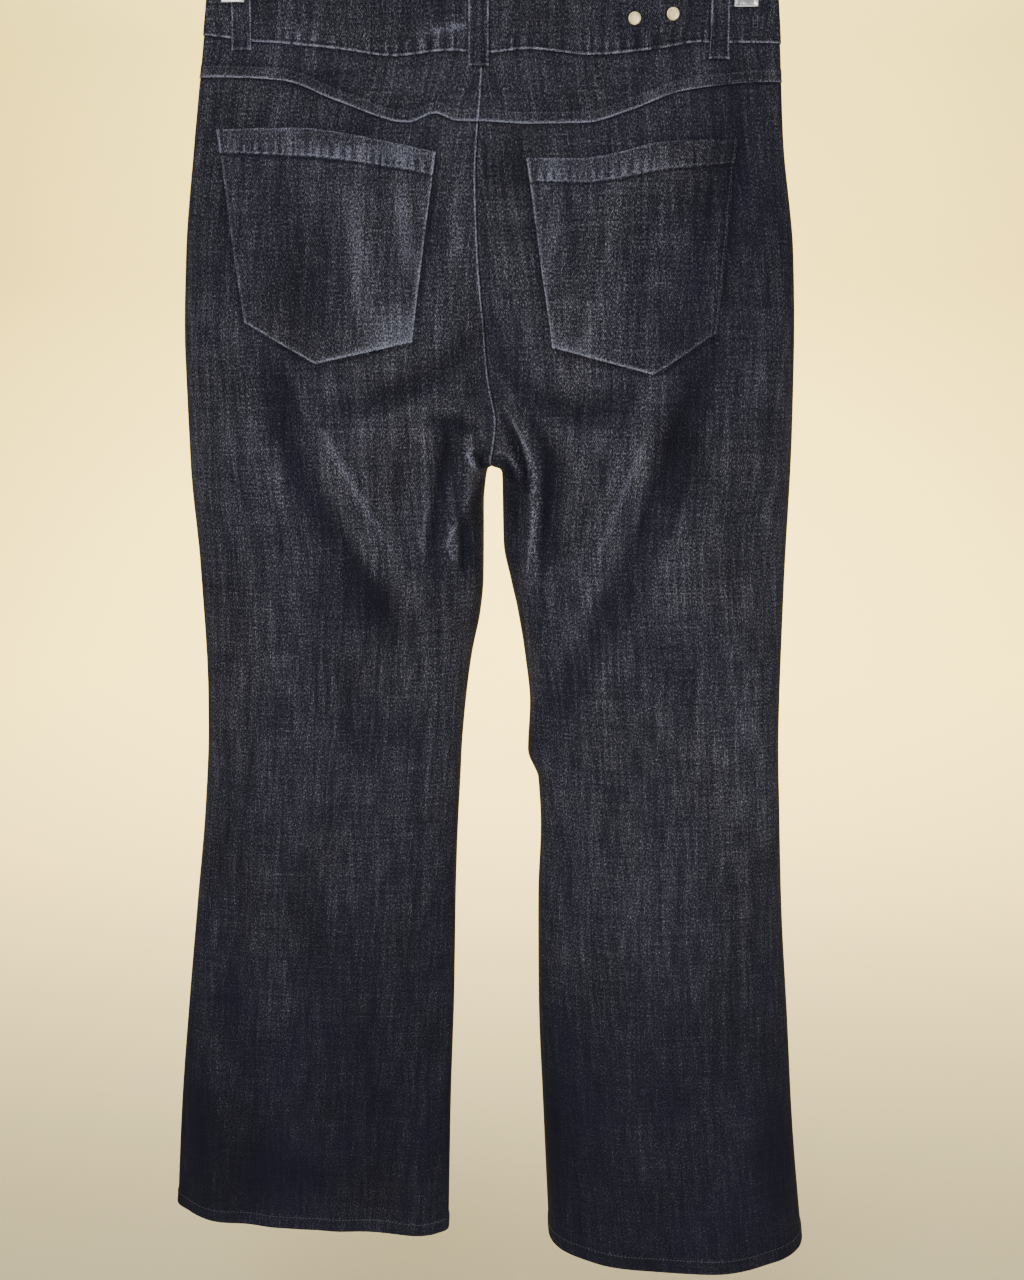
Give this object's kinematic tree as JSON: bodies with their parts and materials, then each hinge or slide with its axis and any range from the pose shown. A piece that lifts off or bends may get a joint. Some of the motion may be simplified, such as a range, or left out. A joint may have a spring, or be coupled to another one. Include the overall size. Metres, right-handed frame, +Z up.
{
  "type": "trouser jeans on a clip hanger",
  "caption": "Dark indigo bootcut trouser jeans hung by the waistband from a wire clip hanger, with patch back pockets, belt loops, a curved yoke and open legs.",
  "frame": {"origin": "inner top of the hanger's hook, where a rail carries it", "axes": "+Z up, -Y out of the back of the jeans, +Y out of their front, +X towards the wearer's right leg"},
  "size_m": [0.5775, 0.1067, 1.1909],
  "materials": {
    "denim": "dark indigo stretch twill with a fine pale speckle",
    "denim_inner": "dark woven zip tape",
    "rivet_metal": "pale champagne, satin, plain",
    "hanger_steel": "bright plated steel"
  },
  "bodies": {
    "root": {"back_leg_left": "denim", "back_leg_right": "denim", "back_pocket_left": "denim", "back_pocket_right": "denim", "belt_loop_back_left": "denim", "belt_loop_back_right": "denim", "belt_loop_centre_back": "denim", "belt_loop_front_left": "denim", "belt_loop_front_right": "denim", "clip_jaw_back_left": "hanger_steel", "clip_jaw_back_right": "hanger_steel", "clip_jaw_front_left": "hanger_steel", "clip_jaw_front_right": "hanger_steel", "clip_sleeve_left": "hanger_steel", "clip_sleeve_right": "hanger_steel", "fly_flap": "denim", "fly_zip": "denim_inner", "front_leg_left": "denim", "front_leg_right": "denim", "front_pocket_facing_left": "denim", "front_pocket_facing_right": "denim", "front_pocket_rivet_side_left": "rivet_metal", "front_pocket_rivet_side_right": "rivet_metal", "front_pocket_rivet_top_left": "rivet_metal", "front_pocket_rivet_top_right": "rivet_metal", "hanger_bar": "hanger_steel", "hanger_collar": "hanger_steel", "hanger_hook": "hanger_steel", "waist_button": "rivet_metal", "waistband_left": "denim", "waistband_right": "denim", "waistband_rivet_inner": "rivet_metal", "waistband_rivet_outer": "rivet_metal", "yoke_left": "denim", "yoke_right": "denim"}
  },
  "joints": []
}
